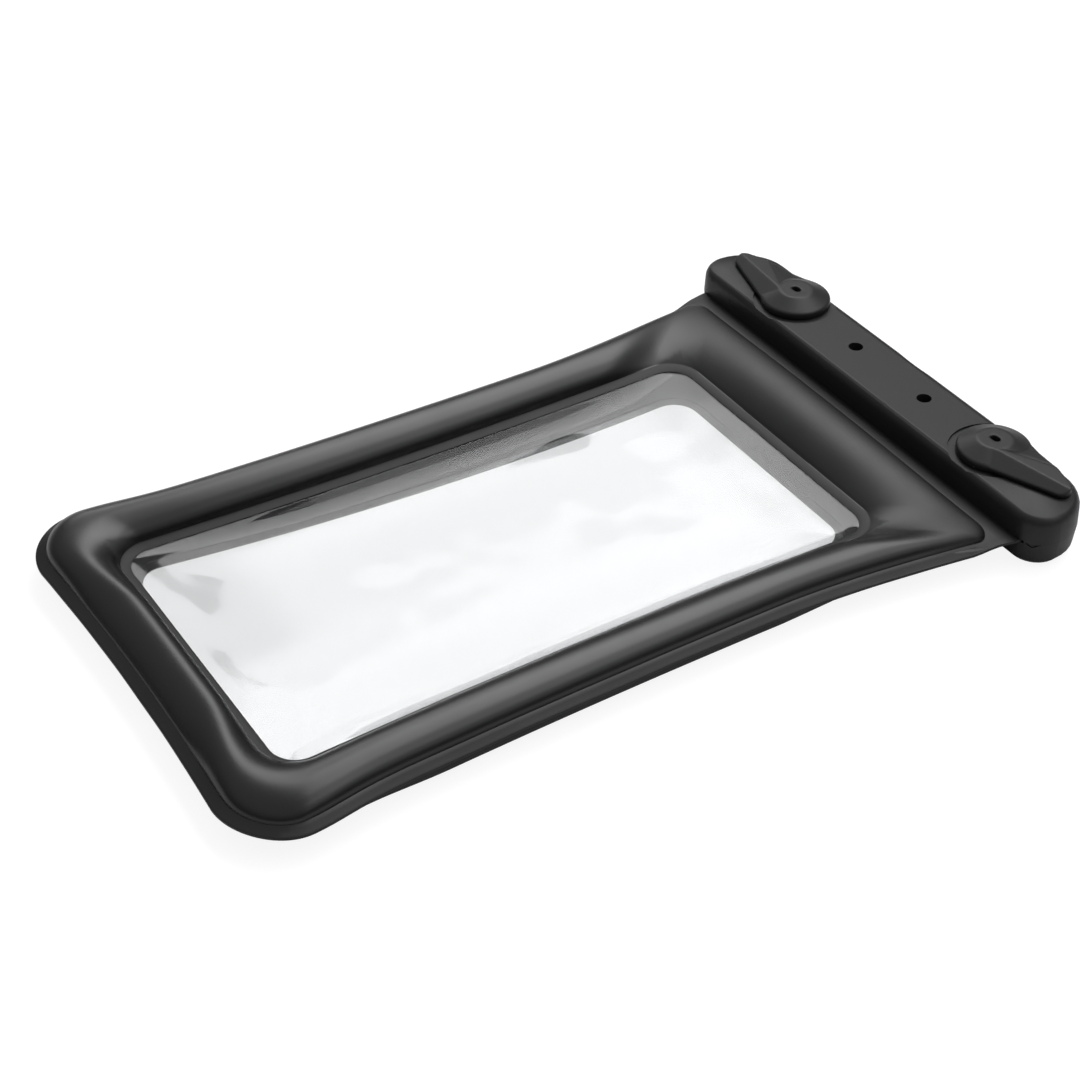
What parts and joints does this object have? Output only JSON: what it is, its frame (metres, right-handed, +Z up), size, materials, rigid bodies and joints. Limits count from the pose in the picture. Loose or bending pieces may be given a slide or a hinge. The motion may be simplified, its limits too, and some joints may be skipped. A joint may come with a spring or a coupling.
{
  "type": "waterproof phone case",
  "caption": "Flat waterproof phone case: a soft pouch with clear windows and an air-filled rim, closed at its mouth by a two-bar clamp with rotary latches.",
  "frame": {"origin": "on the surface that the case lies on, under the centre of its bounding box", "axes": "+Y along the pouch toward the clamp, +X across it to the right, +Z up out of the front window"},
  "size_m": [0.146, 0.2328, 0.0187],
  "materials": {
    "black_film": "soft black film, satin gloss",
    "clear_film": "clear soft film, glossy",
    "black_plastic": "moulded, fine matt",
    "lever_plastic": "moulded, fine matt",
    "seal_rubber": "matt",
    "steel": "plain"
  },
  "bodies": {
    "case": {"front_film": "black_film", "back_film": "black_film", "front_window": "clear_film", "back_window": "clear_film", "front_clamp_bar": "black_plastic", "rear_clamp_bar": "black_plastic", "front_seal_strip": "seal_rubber", "rear_seal_strip": "seal_rubber", "left_latch_post": "steel", "right_latch_post": "steel"},
    "left_lever": {"left_latch_lever": "lever_plastic", "left_lever_clip": "steel"},
    "right_lever": {"right_latch_lever": "lever_plastic", "right_lever_clip": "steel"}
  },
  "joints": [
    {"name": "left_latch_turn", "type": "hinge", "parent": "case", "child": "left_lever", "pos_m": [-0.0419, 0.10675, 0.0149], "axis": [0, 0, -1], "range_deg": [0, 92.6]},
    {"name": "right_latch_turn", "type": "hinge", "parent": "case", "child": "right_lever", "pos_m": [0.0419, 0.10675, 0.0149], "axis": [0, 0, 1], "range_deg": [0, 84.8]}
  ]
}
